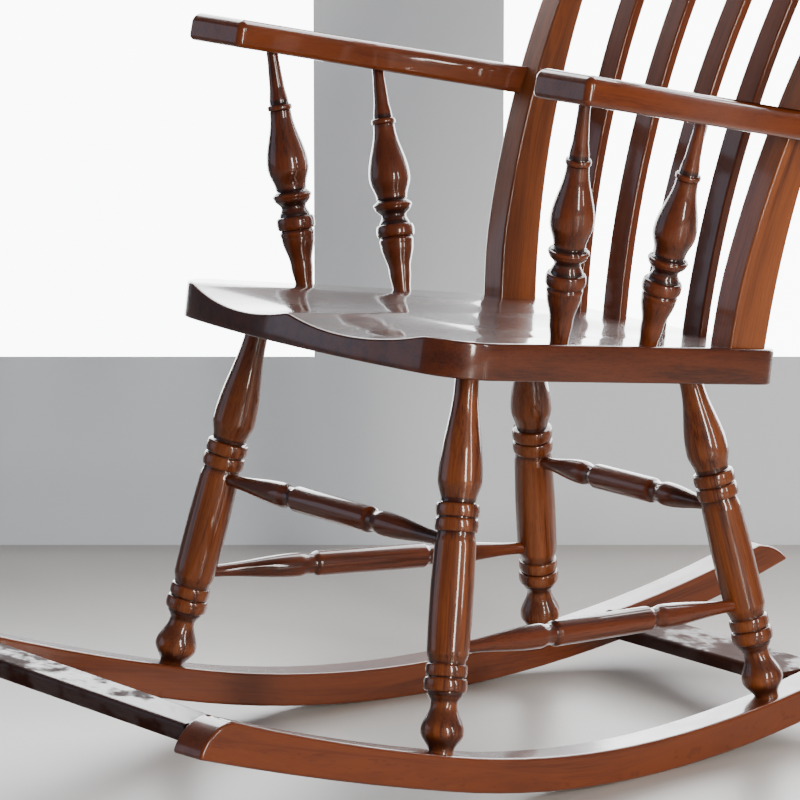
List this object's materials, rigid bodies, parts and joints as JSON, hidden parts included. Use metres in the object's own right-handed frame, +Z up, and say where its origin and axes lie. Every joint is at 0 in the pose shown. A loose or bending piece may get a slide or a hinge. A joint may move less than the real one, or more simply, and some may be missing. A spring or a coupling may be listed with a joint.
{
  "type": "rocking chair",
  "caption": "Slat-back wooden armchair rocker with a saddle seat, turned legs and arm spindles, long curved rockers and cross boards.",
  "frame": {"origin": "on the floor, under the middle of the overall box, with the rockers at their balance point", "axes": "+Z up, the chair faces -Y, +X is the sitter's left"},
  "size_m": [0.666, 1.1289, 1.0927],
  "materials": {
    "seat": "gloss",
    "legs": "gloss",
    "stretchers": "gloss",
    "rockers": "gloss",
    "cross_boards": "gloss",
    "posts": "gloss",
    "slats": "gloss",
    "crest": "gloss",
    "arms": "gloss",
    "spindles": "gloss",
    "plugs": "gloss",
    "screws": "satin"
  },
  "bodies": {
    "root": {"seat": "seat", "leg_front_left": "legs", "leg_front_right": "legs", "leg_rear_left": "legs", "leg_rear_right": "legs", "stretcher_front": "stretchers", "stretcher_rear": "stretchers", "stretcher_left": "stretchers", "stretcher_right": "stretchers", "rocker_left": "rockers", "rocker_right": "rockers", "board_front": "cross_boards", "board_rear": "cross_boards", "post_left": "posts", "post_right": "posts", "slat_1": "slats", "slat_2": "slats", "slat_3": "slats", "slat_4": "slats", "crest_rail": "crest", "arm_left": "arms", "arm_right": "arms", "spindle_front_left": "spindles", "spindle_front_right": "spindles", "spindle_rear_left": "spindles", "spindle_rear_right": "spindles", "arm_plugs": "plugs", "board_plugs": "plugs", "crest_pegs": "plugs", "foot_screws": "screws"}
  },
  "joints": []
}
